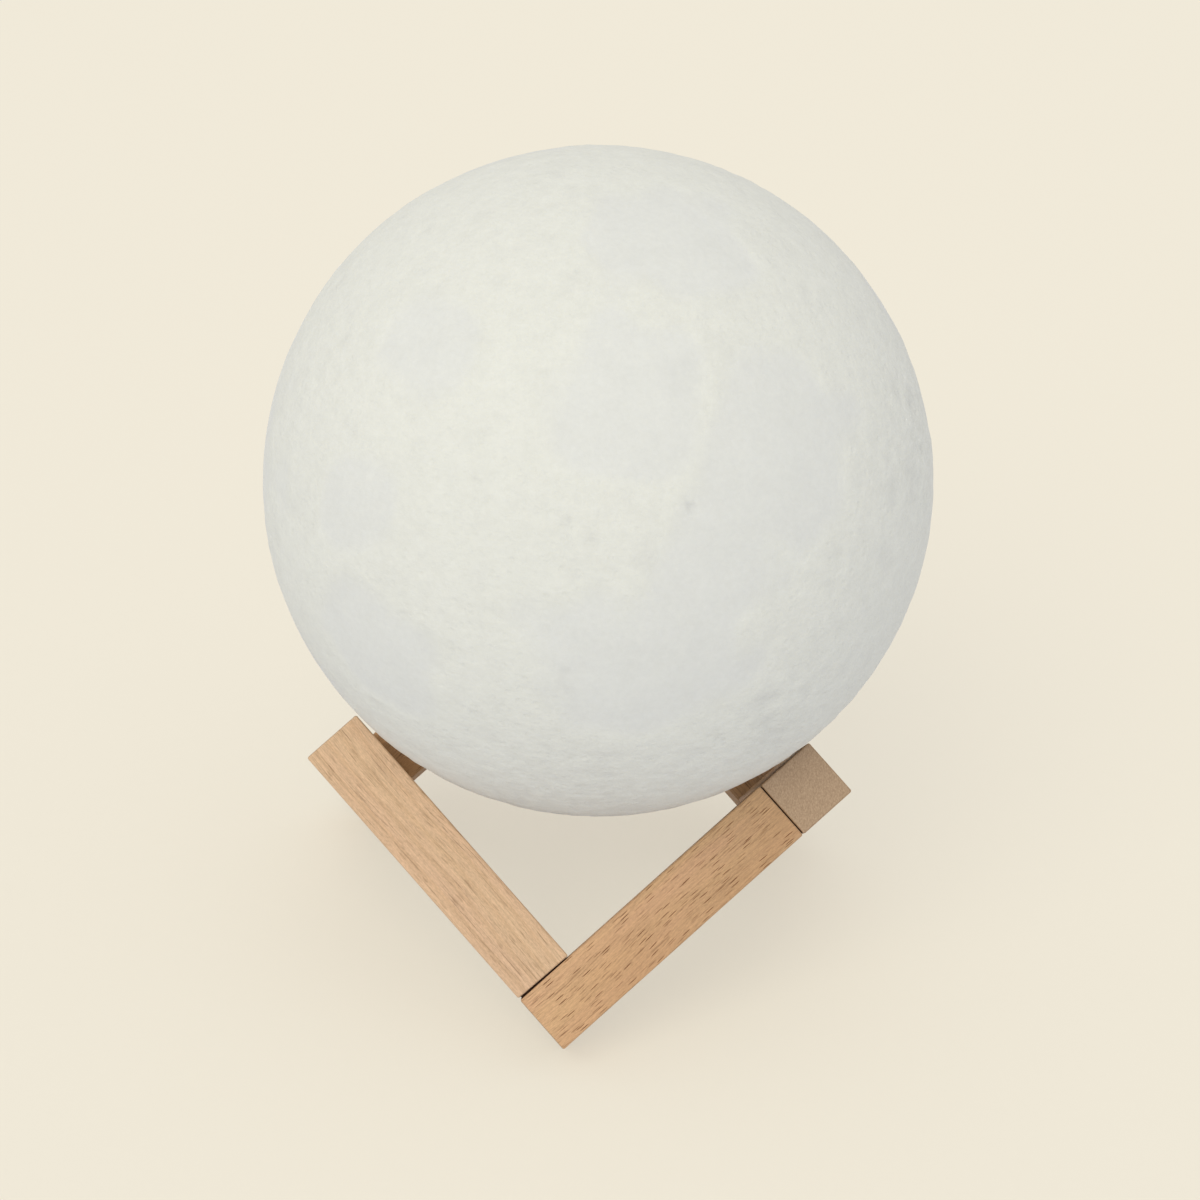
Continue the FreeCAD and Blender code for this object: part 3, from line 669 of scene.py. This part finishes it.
finish, tree, shader = new_finish("stainless_brushed_round", Metallic=1.0, Roughness=0.34)
place = add(tree, "TexCoord")
ring_axes = add(tree, "SeparateXYZ", {0: place.outputs["Object"]})
level_place = add(tree, "VectorMath", {0: place.outputs["Object"], 1: (1, 1, 0)},
                  operation="MULTIPLY")
ring_radius = add(tree, "VectorMath", {0: level_place}, operation="LENGTH")
ring_turn = add(tree, "Math", {0: ring_axes.outputs["Y"], 1: ring_axes.outputs["X"]},
                operation="ARCTAN2")
stroke_across = add(tree, "Math", {0: ring_radius, 1: 1 / STROKE_WIDTH}, operation="MULTIPLY")
stroke_round = add(tree, "Math", {0: ring_turn, 1: STROKES_PER_RADIAN}, operation="MULTIPLY")
strokes = add(tree, "TexNoise", {"Vector": add(tree, "CombineXYZ", {
    "X": stroke_across, "Y": stroke_round}), "Scale": 1.0, "Detail": 2.0})
steel_tone = add(tree, "ValToRGB", {"Fac": strokes})
steel_tone.color_ramp.elements[0].position = 0.3
steel_tone.color_ramp.elements[0].color = linear("B2B4B6")
steel_tone.color_ramp.elements[1].position = 0.7
steel_tone.color_ramp.elements[1].color = linear("CACBCC")
stroke_bump = add(tree, "Bump", {"Height": strokes, "Strength": 0.4, "Distance": 0.02 * MM})
fill(tree, shader, {"Base Color": steel_tone, "Normal": stroke_bump})
nodes["touch_ring"].material_slots[0].material = finish


# --- Touch lead ----------------------------------------------------------------------------
# A thin stranded wire in white PVC, soldered to the back of the touch ring and to the board. The
# insulation is extruded, so it is satin with a faint waviness.

white_pvc = two_tone("pvc_white_extruded", ("D6D6CF", "E6E6E0"), 0.6 * MM, {"Detail": 2.0},
                     bump=(0.3, 0.03 * MM), Roughness=0.42, IOR=1.54)
nodes["touch_lead"].material_slots[0].material = white_pvc


# --- Charging socket -----------------------------------------------------------------------
# A round low-voltage socket moulded in black glass-filled nylon, pressed through the cup's floor.
# The filler gives it a dull, slightly speckled skin.

finish, tree, shader = new_finish("nylon_black_glass_filled", IOR=1.53, Specular_IOR_Level=0.4)
place = add(tree, "TexCoord")
filler = add(tree, "TexNoise", {"Vector": place.outputs["Object"], "Scale": 1 / (0.25 * MM),
                                "Detail": 3.0, "Roughness": 0.7})
filler_tone = add(tree, "ValToRGB", {"Fac": filler})
filler_tone.color_ramp.elements[0].position = 0.35
filler_tone.color_ramp.elements[0].color = linear("1A1A1C")
filler_tone.color_ramp.elements[1].position = 0.75
filler_tone.color_ramp.elements[1].color = linear("2C2C2F")
filler_gloss = add(tree, "MapRange", {"Value": filler, "To Min": 0.4, "To Max": 0.6})
filler_bump = add(tree, "Bump", {"Height": filler, "Strength": 0.4, "Distance": 0.02 * MM})
fill(tree, shader, {"Base Color": filler_tone, "Roughness": filler_gloss, "Normal": filler_bump})
nodes["charging_socket"].material_slots[0].material = finish


# --- Charging light and its pipe -----------------------------------------------------------
# A small emitter in clear resin under the board, and a rod of clear acrylic that carries its
# light down through the floor. The rod was moulded, so its polish is a little uneven.

nodes["charge_light_pipe"].material_slots[0].material = two_tone(
    "acrylic_clear_moulded", ("EEF3F2", "F8FAFA"), 1.5 * MM, {"Detail": 1.0},
    bump=(0.2, 0.02 * MM), Roughness=0.06, IOR=1.49, Transmission_Weight=1.0)
nodes["charge_light"].material_slots[0].material = two_tone(
    "resin_clear_cast", ("D9D4BE", "F1EEE2"), 0.8 * MM, {"Detail": 1.0},
    Roughness=0.15, IOR=1.54, Transmission_Weight=0.5)


# --- Main board ----------------------------------------------------------------------------
# A round board of glass-fibre laminate under green solder mask, on two standoffs in the cup. The
# copper tracks show through the mask as paler runs, and the cut edge shows the bare laminate.

TRACK_PITCH = 1.6 * MM
TRACK_SHARE = 0.28

finish, tree, shader = new_finish("laminate_green_solder_mask", Roughness=0.32, IOR=1.52)
place = add(tree, "TexCoord")
board_axes = add(tree, "SeparateXYZ", {0: place.outputs["Object"]})
tracks = []
for axis in ("X", "Y"):
    pitches = add(tree, "Math", {0: board_axes.outputs[axis], 1: TRACK_PITCH}, operation="DIVIDE")
    share = add(tree, "Math", {0: pitches}, operation="FRACT")
    away = add(tree, "Math", {0: share, 1: 0.5}, operation="SUBTRACT")
    off_line = add(tree, "Math", {0: away}, operation="ABSOLUTE")
    tracks.append(add(tree, "MapRange", {"Value": off_line, "From Min": TRACK_SHARE / 2 + 0.03,
                                         "From Max": TRACK_SHARE / 2 - 0.03}))
field = add(tree, "TexVoronoi", {"Vector": place.outputs["Object"], "Scale": 1 / (6 * MM)},
            distance="CHEBYCHEV")
field_kind = add(tree, "SeparateColor", {"Color": field.outputs["Color"]})
turned_run = add(tree, "Math", {0: field_kind, 1: 0.45}, operation="GREATER_THAN")
track = add(tree, "Mix", {"Factor": turned_run, "A": tracks[0], "B": tracks[1]})
mask_tone = add(tree, "Mix", {"Factor": track, "A": linear("14502B"), "B": linear("2A7A45")},
                data_type="RGBA")
board_tilt = add(tree, "SeparateXYZ", {0: place.outputs["Normal"]})
flatness = add(tree, "Math", {0: board_tilt.outputs["Z"]}, operation="ABSOLUTE")
edge_share = add(tree, "MapRange", {"Value": flatness, "From Min": 0.7, "From Max": 0.5})
board_tone = add(tree, "Mix", {"Factor": edge_share, "A": mask_tone, "B": linear("B9AA78")},
                 data_type="RGBA")
track_bump = add(tree, "Bump", {"Height": track, "Strength": 0.5, "Distance": 0.04 * MM})
fill(tree, shader, {"Base Color": board_tone, "Normal": track_bump})
nodes["main_board"].material_slots[0].material = finish


# --- Parts on the board --------------------------------------------------------------------
# A touch chip, a charger chip, a coil and three small parts, soldered on. Their packages are
# moulded in black epoxy, matt with a fine grain, and a little greyer in places.

nodes["board_parts"].material_slots[0].material = two_tone(
    "epoxy_black_moulded", ("1B1B1D", "303032"), 0.2 * MM, {"Detail": 2.0},
    bump=(0.4, 0.015 * MM), Roughness=0.55, IOR=1.55)


# --- Board screws --------------------------------------------------------------------------
# Two small steel screws down through the board into its standoffs. The zinc plating is bright
# and slightly mottled.

zinc_plate, tree, shader = new_finish("steel_zinc_plated", Metallic=1.0)
place = add(tree, "TexCoord")
spangle = add(tree, "TexNoise", {"Vector": place.outputs["Object"], "Scale": 1 / (0.7 * MM),
                                 "Detail": 3.0})
zinc_tone = add(tree, "ValToRGB", {"Fac": spangle})
zinc_tone.color_ramp.elements[0].position = 0.3
zinc_tone.color_ramp.elements[0].color = linear("B4B8BD")
zinc_tone.color_ramp.elements[1].position = 0.7
zinc_tone.color_ramp.elements[1].color = linear("CBCED1")
zinc_gloss = add(tree, "MapRange", {"Value": spangle, "To Min": 0.25, "To Max": 0.42})
fill(tree, shader, {"Base Color": zinc_tone, "Roughness": zinc_gloss})
nodes["board_screws"].material_slots[0].material = zinc_plate


# --- Cell ----------------------------------------------------------------------------------
# A flat rechargeable cell in a heat-sealed pouch of aluminium laminate. The foil is dull silver
# with shallow creases.

nodes["cell"].material_slots[0].material = two_tone(
    "aluminium_laminate_pouch", ("C0C2C5", "D2D3D5"), 5 * MM,
    {"Detail": 3.0, "Distortion": 0.8}, spread=(0.3, 0.7), bump=(0.6, 0.25 * MM),
    Metallic=0.9, Roughness=0.36)


# --- Cell leads ----------------------------------------------------------------------------
# Two stranded wires from the cell's end down to the board, one in red and one in black PVC. The
# red one runs on the rear side of the middle.

finish, tree, shader = new_finish("pvc_red_and_black_extruded", Roughness=0.4, IOR=1.54)
place = add(tree, "TexCoord")
lead_axes = add(tree, "SeparateXYZ", {0: place.outputs["Object"]})
is_red = add(tree, "Math", {0: lead_axes.outputs["Y"], 1: 0.0}, operation="GREATER_THAN")
lead_tone = add(tree, "Mix", {"Factor": is_red, "A": linear("1C1C1E"), "B": linear("A3201B")},
                data_type="RGBA")
lead_marks = add(tree, "TexNoise", {"Vector": place.outputs["Object"], "Scale": 1 / (0.6 * MM),
                                    "Detail": 2.0})
lead_light = add(tree, "MapRange", {"Value": lead_marks, "To Min": 0.85, "To Max": 1.15})
lead_mottled = add(tree, "VectorMath", {0: lead_tone, "Scale": lead_light}, operation="SCALE")
lead_bump = add(tree, "Bump", {"Height": lead_marks, "Strength": 0.3, "Distance": 0.03 * MM})
fill(tree, shader, {"Base Color": lead_mottled, "Normal": lead_bump})
nodes["cell_leads"].material_slots[0].material = finish


# --- Cell tape -----------------------------------------------------------------------------
# Grey closed-cell foam tape that holds the cell up under the cover. Its cut faces show the cells,
# about half a millimetre across.

finish, tree, shader = new_finish("foam_tape_closed_cell", Roughness=0.9, IOR=1.45)
place = add(tree, "TexCoord")
bubbles = add(tree, "TexVoronoi", {"Vector": place.outputs["Object"], "Scale": 1 / (0.5 * MM)})
foam_tone = add(tree, "ValToRGB", {"Fac": bubbles})
foam_tone.color_ramp.elements[0].color = linear("2A2A2C")
foam_tone.color_ramp.elements[1].color = linear("4A4A4D")
foam_bump = add(tree, "Bump", {"Height": bubbles, "Strength": 0.8, "Distance": 0.15 * MM})
fill(tree, shader, {"Base Color": foam_tone, "Normal": foam_bump})
nodes["cell_tape"].material_slots[0].material = finish


# --- Cup cover, its screws and the light post ----------------------------------------------
# The cover closes the cup, and two plated screws hold it on the cup's tall bosses. The post that
# carries the light stands in its recess. Both are moulded like the cup, in the same white ABS.

nodes["cup_cover"].material_slots[0].material = white_abs
nodes["cover_screws"].material_slots[0].material = zinc_plate
nodes["light_post"].material_slots[0].material = white_abs


# --- Light wires ---------------------------------------------------------------------------
# Two more wires in white PVC. They run from the board past the cell, through the cover's slot and
# up inside the post, and are soldered to the light board.

nodes["light_wires"].material_slots[0].material = white_pvc


# --- Light board ---------------------------------------------------------------------------
# A small round board with an aluminium core, glued on top of the post. White solder mask covers
# its faces, and the punched edge shows the bare metal.

finish, tree, shader = new_finish("aluminium_board_white_mask", Roughness=0.38, IOR=1.52)
place = add(tree, "TexCoord")
mask_noise = add(tree, "TexNoise", {"Vector": place.outputs["Object"], "Scale": 1 / (2 * MM),
                                    "Detail": 2.0})
white_mask = add(tree, "ValToRGB", {"Fac": mask_noise})
white_mask.color_ramp.elements[0].color = linear("E8E8E4")
white_mask.color_ramp.elements[1].color = linear("F2F2EF")
core_tilt = add(tree, "SeparateXYZ", {0: place.outputs["Normal"]})
core_flatness = add(tree, "Math", {0: core_tilt.outputs["Z"]}, operation="ABSOLUTE")
core_share = add(tree, "MapRange", {"Value": core_flatness, "From Min": 0.7, "From Max": 0.5})
core_tone = add(tree, "Mix", {"Factor": core_share, "A": white_mask, "B": linear("C4C6C8")},
                data_type="RGBA")
fill(tree, shader, {"Base Color": core_tone, "Metallic": core_share})
nodes["light_board"].material_slots[0].material = finish


# --- Light emitters ------------------------------------------------------------------------
# Six emitters in white packages, soldered in a ring, warm and cool in turn. Each has a round
# window of phosphor in clear resin, more orange on the warm ones.

EMITTER_RING = 0.0056
WINDOW_RADIUS = 0.0011

finish, tree, shader = new_finish("phosphor_in_white_package", Roughness=0.3, IOR=1.53)
place = add(tree, "TexCoord")
emitter_axes = add(tree, "SeparateXYZ", {0: place.outputs["Object"]})
emitter_turn = add(tree, "Math", {0: emitter_axes.outputs["Y"], 1: emitter_axes.outputs["X"]},
                   operation="ARCTAN2")
sixths = add(tree, "Math", {0: emitter_turn, 1: 3 / math.pi}, operation="MULTIPLY")
nearest = add(tree, "Math", {0: sixths}, operation="ROUND")
off_angle = add(tree, "Math", {0: sixths, 1: nearest}, operation="SUBTRACT")
off_arc = add(tree, "Math", {0: off_angle, 1: EMITTER_RING * math.pi / 3}, operation="MULTIPLY")
emitter_level = add(tree, "VectorMath", {0: place.outputs["Object"], 1: (1, 1, 0)},
                    operation="MULTIPLY")
emitter_reach = add(tree, "VectorMath", {0: emitter_level}, operation="LENGTH")
off_ring = add(tree, "Math", {0: emitter_reach, 1: EMITTER_RING}, operation="SUBTRACT")
off_middle = add(tree, "VectorMath", {0: add(tree, "CombineXYZ", {"X": off_arc, "Y": off_ring})},
                 operation="LENGTH")
window_share = add(tree, "MapRange", {"Value": off_middle, "From Min": WINDOW_RADIUS * 1.05,
                                      "From Max": WINDOW_RADIUS * 0.95})
halves = add(tree, "Math", {0: nearest, 1: 0.5}, operation="MULTIPLY")
odd_share = add(tree, "Math", {0: halves}, operation="FRACT")
is_warm = add(tree, "Math", {0: odd_share, 1: 0.25}, operation="GREATER_THAN")
phosphor = add(tree, "Mix", {"Factor": is_warm, "A": linear("EFE07A"), "B": linear("F0B45A")},
               data_type="RGBA")
package = add(tree, "Mix", {"Factor": window_share, "A": linear("EDEBE2"), "B": phosphor},
              data_type="RGBA")
fill(tree, shader, {"Base Color": package})
nodes["light_emitters"].material_slots[0].material = finish


# --- Frosted cap ---------------------------------------------------------------------------
# A domed cap moulded in opal acrylic, pushed over the post's head, which spreads the light over
# the whole shade. Its skin is frosted, so it shines only dully.

nodes["frosted_cap"].material_slots[0].material = two_tone(
    "acrylic_opal_frosted", ("EAEAE5", "F4F4F0"), 0.4 * MM, {"Detail": 2.0, "Roughness": 0.7},
    bump=(0.4, 0.03 * MM), Roughness=0.55, IOR=1.49, Subsurface_Weight=0.6,
    Subsurface_Scale=2.0 * MM, Transmission_Weight=0.25)


# --- Table ---------------------------------------------------------------------------------
# A plain pale cream table, far wider than the view, with the lamp's soft shadow on it. The colour
# is for the eye and for reflections only: the light that it throws back up is a neutral grey's.

TABLE_RADIUS = 4.0
LIT_SHARE = 0.4

cream = linear("F1EADA")


def seen_share(tree):
    """1 for a ray from the camera, off a gloss or through glass, and 0 for one that lights."""
    path = add(tree, "LightPath")
    direct = add(tree, "Math", {0: path.outputs["Is Camera Ray"],
                                1: path.outputs["Is Glossy Ray"]}, operation="MAXIMUM")
    return add(tree, "Math", {0: direct, 1: path.outputs["Is Transmission Ray"]},
               operation="MAXIMUM")


bpy.ops.object.select_all(action="DESELECT")
bpy.ops.mesh.primitive_circle_add(vertices=64, radius=TABLE_RADIUS, fill_type="NGON")
table = bpy.context.object
table.name = "table"
finish, tree, shader = new_finish("cream_table_matt", Roughness=1.0, Specular_IOR_Level=0.0,
                                  Base_Color=linear("E4E5EA"))
lit_cream = add(tree, "BsdfDiffuse", {"Color": cream})
plain_cream = add(tree, "Emission", {"Color": cream, "Strength": 1.0})
shown = add(tree, "MixShader", {0: 1 - LIT_SHARE, 1: lit_cream, 2: plain_cream})
whole = add(tree, "MixShader", {0: seen_share(tree), 1: shader, 2: shown})
fill(tree, tree.nodes["Material Output"], {"Surface": whole})
table.data.materials.append(finish)


# --- Light and air -------------------------------------------------------------------------
# Soft daylight from all round, and a wide lamp, a little warmer, from above the front left. What
# the eye, gloss and glass see beyond the table is the table's own cream.

DAYLIGHT = 0.77
DAYLIGHT_TINT = (0.98, 0.99, 1.01, 1)
LAMP_STRENGTH = 1.06
LAMP_TINT = (1.0, 0.97, 0.82)
LAMP_WIDTH = math.radians(40)
LAMP_SIDE = (-0.30, -0.65, 0.70)

world = bpy.data.worlds.new("studio")
world.use_nodes = True
bpy.context.scene.world = world
tree = world.node_tree
tree.nodes.clear()
daylight = add(tree, "Background", {"Color": DAYLIGHT_TINT, "Strength": DAYLIGHT})
backdrop = add(tree, "Background", {"Color": cream, "Strength": 1.0})
shown = add(tree, "MixShader", {0: seen_share(tree), 1: daylight, 2: backdrop})
add(tree, "OutputWorld", {"Surface": shown})

bpy.ops.object.light_add(type="SUN")
sun = bpy.context.object
sun.name = "wide_soft_lamp"
sun.data.energy = LAMP_STRENGTH
sun.data.color = LAMP_TINT
sun.data.angle = LAMP_WIDTH
sun.rotation_mode = "QUATERNION"
sun.rotation_quaternion = Vector(LAMP_SIDE).to_track_quat("Z", "Y")


# --- Camera --------------------------------------------------------------------------------
# Where the photograph was taken from: nearly in front of the stand's front corner, 0.7 m away,
# looking down at the lamp, and held slightly askew.

CAMERA_TURN = math.radians(1.335)
CAMERA_DROP = math.radians(28.919)
CAMERA_ROLL = math.radians(4.191)
CAMERA_DISTANCE = 0.700
LENS_MM = 91.57
camera_target = Vector((0.00242, 0, 0.08305))
looking = Vector((math.sin(CAMERA_TURN) * math.cos(CAMERA_DROP),
                  math.cos(CAMERA_TURN) * math.cos(CAMERA_DROP), -math.sin(CAMERA_DROP)))
level = Vector((math.cos(CAMERA_TURN), -math.sin(CAMERA_TURN), 0))
upright = level.cross(looking)
right = level * math.cos(CAMERA_ROLL) + upright * math.sin(CAMERA_ROLL)
top = upright * math.cos(CAMERA_ROLL) - level * math.sin(CAMERA_ROLL)
bpy.ops.object.camera_add()
camera = bpy.context.object
camera.data.lens = LENS_MM
camera.data.sensor_width = 36
camera.data.clip_start = 0.01
turned = Matrix((right, top, -looking)).transposed().to_4x4()
camera.matrix_world = Matrix.Translation(camera_target - looking * CAMERA_DISTANCE) @ turned
bpy.context.scene.camera = camera

bpy.context.scene.view_settings.view_transform = "Standard"
